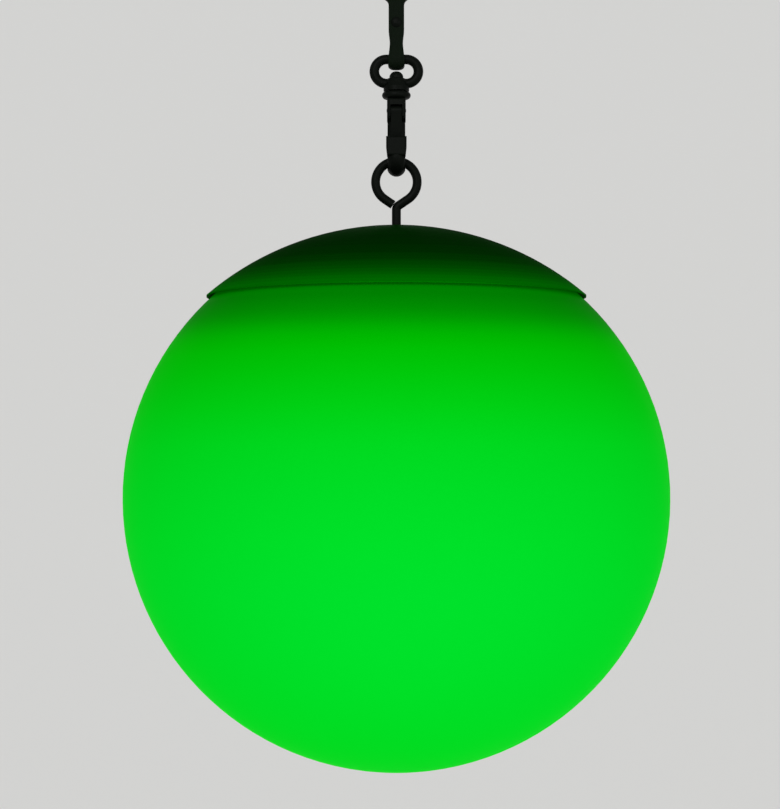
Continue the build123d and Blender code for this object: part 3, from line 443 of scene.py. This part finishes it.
def skins(x, depth, half=STRIP_HALF, down=0.0):
    """Offsets of the inner and outer skin from the middle line, at x and this far from the edge.

    down is the cosine of the outward direction with straight down, for the loop's foot, which is
    rounded as an ellipse.
    """
    full = PLY
    if down > FOOT_FROM:
        foot = (LOOP_R + PLY * math.sqrt(max(0.0, 1 - (x / half) ** 2))) / down - LOOP_R
        full = min(full, foot)
    outer = max(full - edge_cut(depth) * full / PLY, EDGE_LEAST)
    inner = min(edge_cut(depth), EDGE_SHARE * outer)
    pressed = CREASE_DEPTH * math.exp(-((depth - CREASE) / CREASE_WIDTH) ** 2)
    return inner - PLY / 2, outer - pressed * full / PLY - PLY / 2


def tab_outline():
    """The tab's edge: along the strip's first row, then up, over the crown and down."""
    foot = [(x, JOIN_Z) for x in columns(STRIP_HALF)]
    centre = (STRIP_HALF + TAB_FILLET, -SHOULDER)
    side = line(foot[-1], (STRIP_HALF, -SHOULDER), SIDE_STEPS)
    fillet_end = math.pi / 2 + math.atan2(STRIP_HALF + TAB_FILLET, SHOULDER)
    fillet = arc(centre, TAB_FILLET, math.pi, fillet_end, FILLET_STEPS)
    crown_start = math.atan2(fillet[-1][1], fillet[-1][0])
    crown = arc((0.0, 0.0), TAB_R, crown_start, math.pi / 2, CROWN_STEPS)
    right = side + fillet + crown
    return foot + right + [(-x, z) for x, z in reversed(right[:-1])]


def tab_ring(outline, step):
    """The tab's edge drawn in towards the hole: by the insets first, then in equal steps."""
    ring = []
    for x, z in outline:
        reach = math.hypot(x, z)
        if step < len(INSET):
            depth = INSET[step]
        else:
            room = reach - HOLE_R - INSET[-1]
            depth = INSET[-1] + room * (step - len(INSET) + 1) / HOLE_STEPS
        share = 1 - depth / reach
        ring.append((x * share, z * share))
    return ring


def tab_depth(x, z):
    """Distance from the edge of the tab, its fillets and the strip below them."""
    dx, dz = abs(x) - STRIP_HALF - TAB_FILLET, z + SHOULDER
    turn = math.atan2(dz, -dx)
    if turn < 0:
        return STRIP_HALF - abs(x)
    if turn > math.atan2(SHOULDER, STRIP_HALF + TAB_FILLET):
        return TAB_R - math.hypot(x, z)
    return math.hypot(dx, dz) - TAB_FILLET


def band(a, b, closed=False):
    """Faces between two rows of corners."""
    ahead = [(k + 1) % len(a) for k in range(len(a) if closed else len(a) - 1)]
    return [(a[k], a[n], b[n], b[k]) for k, n in enumerate(ahead)]


def strap_mesh():
    """The strap's corners, its faces, and which of these are its cut edges."""
    verts, faces, edge_faces = [], [], []
    route = strip_route()
    rows = []  # each the corners of the inner and the outer skin
    for i, (y, z) in enumerate(route):
        ahead, behind = route[min(i + 1, len(route) - 1)], route[max(i - 1, 0)]
        along_y, along_z = ahead[0] - behind[0], ahead[1] - behind[1]
        size = math.hypot(along_y, along_z)
        out_y, out_z = along_z / size, -along_y / size  # away from the other ply and the wire
        half = half_width(z)
        row = ([], [])
        for x in columns(half):
            for skin, offset in zip(row, skins(x, half - abs(x), half, -out_z)):
                skin.append(len(verts))
                verts.append((x, y + out_y * offset, z + out_z * offset))
        rows.append(row)
    for (inner, outer), (next_inner, next_outer) in zip(rows, rows[1:]):
        faces += band(next_outer, outer) + band(inner, next_inner)
        edge_faces += [len(faces), len(faces) + 1]
        faces.append((outer[0], inner[0], next_inner[0], next_outer[0]))
        faces.append((next_outer[-1], next_inner[-1], inner[-1], outer[-1]))

    # each ply's round tab, in rings from its edge to the hole; side is the sign of its y
    outline = tab_outline()
    for side, first in ((-1, rows[0]), (1, rows[-1])):
        foot = len(first[0])
        tab = []
        for step in range(len(INSET) + HOLE_STEPS):
            row = ([], [])
            for k, (x, z) in enumerate(tab_ring(outline, step)):
                if step == 0 and k < foot:
                    corners = (first[0][k], first[1][k])  # shared with the strip
                else:
                    inner, outer = skins(x, tab_depth(x, z) if step else 0.0)
                    from_hole = math.hypot(x, z) - HOLE_R
                    bevel = HOLE_BEVEL * max(0.0, 1 - from_hole / HOLE_BEVEL_WIDTH)
                    corners = (len(verts), len(verts) + 1)
                    for offset in (inner + bevel, outer - bevel):
                        verts.append((x, side * (PLY_MID + offset), z))
                for skin, corner in zip(row, corners):
                    skin.append(corner)
            tab.append(row)
        for outside, inside in zip(tab, tab[1:]):
            for skin, turn in ((0, side), (1, -side)):
                faces += band(*(outside[skin], inside[skin])[::turn], closed=True)
        # its cut edge, from where it leaves the strip, and the wall of the hole
        for row, start, turn in ((tab[0], foot - 1, side), (tab[-1], 0, -side)):
            a, b = row[::turn]
            for k in range(start, len(a)):
                n = (k + 1) % len(a)
                edge_faces.append(len(faces))
                faces.append((a[k], b[k], b[n], a[n]))
    return verts, faces, edge_faces


verts, faces, edge_faces = strap_mesh()
mesh = smooth_mesh("strap_leather", [[c * MM for c in v] for v in verts], faces)
mesh.materials.append(leather)
mesh.materials.append(leather_edge)
for f in edge_faces:
    mesh.polygons[f].material_index = 1
strap = link_new("strap_folded", mesh)
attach(strap, "hanger")
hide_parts("hanging_strap")

# ---------------------------------------------------------------- stage
PAPER_LIGHT, PAPER_DARK = (0.73, 0.73, 0.71), (0.70, 0.70, 0.68)
PAPER_GLOW = (0.80, 0.80, 0.79, 1.0)
GLOW_SHARE = 0.65  # of the glow in what the camera, gloss and clear parts see of the paper
FLOOR_Z, FRONT_Y, BACK_Y, TOP_Z = -1.65, -4.0, 3.4, 3.4
SWEEP_R = 0.8  # of the bend from floor to back
SWEEP_TURN = 6  # degrees between its points
SWEEP_HALF = 4.0  # half the sweep's width

pale, tree, shader, at = material("pale_paper")
wire(tree, shader, {
    "Base Color": mix(tree, noise(tree, at, scale=3.0), PAPER_DARK, PAPER_LIGHT),
    "Roughness": 0.9,
})
rays = add(tree, "ShaderNodeLightPath").outputs
seen = maths(tree, "MAXIMUM", rays["Is Camera Ray"], rays["Is Glossy Ray"])
seen = maths(tree, "MAXIMUM", seen, rays["Is Transmission Ray"])
glow = add(tree, "ShaderNodeEmission", {"Color": PAPER_GLOW, "Strength": 1.0})
glowing = add(tree, "ShaderNodeMixShader", {
    0: maths(tree, "MULTIPLY", seen, GLOW_SHARE), 1: shader.outputs[0], 2: glow.outputs[0],
})
wire(tree, tree.nodes["Material Output"], {"Surface": glowing.outputs[0]})

profile = [(FRONT_Y, FLOOR_Z), (BACK_Y - SWEEP_R, FLOOR_Z)]
for degrees in range(SWEEP_TURN, 90, SWEEP_TURN):
    turn = math.radians(degrees)
    profile.append((
        BACK_Y - SWEEP_R + SWEEP_R * math.sin(turn),
        FLOOR_Z + SWEEP_R * (1 - math.cos(turn)),
    ))
profile += [(BACK_Y, FLOOR_Z + SWEEP_R), (BACK_Y, TOP_Z)]
sweep = smooth_mesh(
    "backdrop",
    [(side * SWEEP_HALF, y, z) for y, z in profile for side in (-1, 1)],
    [(2 * i, 2 * i + 1, 2 * i + 3, 2 * i + 2) for i in range(len(profile) - 1)],
)
sweep.materials.append(pale)
backdrop = link_new("backdrop", sweep)

# ---------------------------------------------------------------- light
ROOM_GREY = (0.92, 0.92, 0.92, 1.0)
ROOM_LIGHT, ROOM_SEEN = 0.45, 0.72  # strength on the object, and as the camera sees it
LIT_POINT = (0.0, 0.0, -0.25)
SOFTBOX_SIZE = 1.6

world = bpy.data.worlds.new("soft_room")
world.use_nodes = True
room = world.node_tree
camera_ray = add(room, "ShaderNodeLightPath").outputs["Is Camera Ray"]
wire(room, room.nodes["Background"], {
    "Color": ROOM_GREY,
    "Strength": span(room, camera_ray, ROOM_LIGHT, ROOM_SEEN),
})
bpy.context.scene.world = world


def softbox(name, at, power):
    """A square area light that faces the object and that the camera doesn't see."""
    data = bpy.data.lights.new(name, "AREA")
    data.shape, data.size, data.size_y = "RECTANGLE", SOFTBOX_SIZE, SOFTBOX_SIZE
    data.energy = power
    lamp = link_new(name, data)
    lamp.location = at
    lamp.visible_camera = False
    lamp.rotation_euler = (Vector(LIT_POINT) - Vector(at)).to_track_quat("-Z", "Y").to_euler()


softbox("key", (-0.7, -2.6, 0.9), power=34.0)
softbox("fill", (1.6, -2.0, 0.2), power=14.0)

# ---------------------------------------------------------------- camera
FOCAL_PX = 2632.6
TALL_PX = 809  # longer side of the picture
RIGHT_PX, BELOW_PX = 6.4, 93.4  # place of the globe's centre from the picture's
DISTANCE = 1.450
camera = bpy.data.cameras.new("camera")
camera.sensor_fit, camera.sensor_width = "AUTO", 36.0
camera.lens = FOCAL_PX * camera.sensor_width / TALL_PX
camera.clip_start, camera.clip_end = 0.05, 20.0
eye = link_new("camera", camera)
eye.location = (0.0, -DISTANCE, GLOBE_Z)
pitch, yaw = math.atan(BELOW_PX / FOCAL_PX), math.atan(RIGHT_PX / FOCAL_PX)
eye.rotation_euler = (math.radians(90.0) + pitch, 0.0, yaw)
bpy.context.scene.camera = eye
bpy.context.scene.view_settings.view_transform = "Standard"
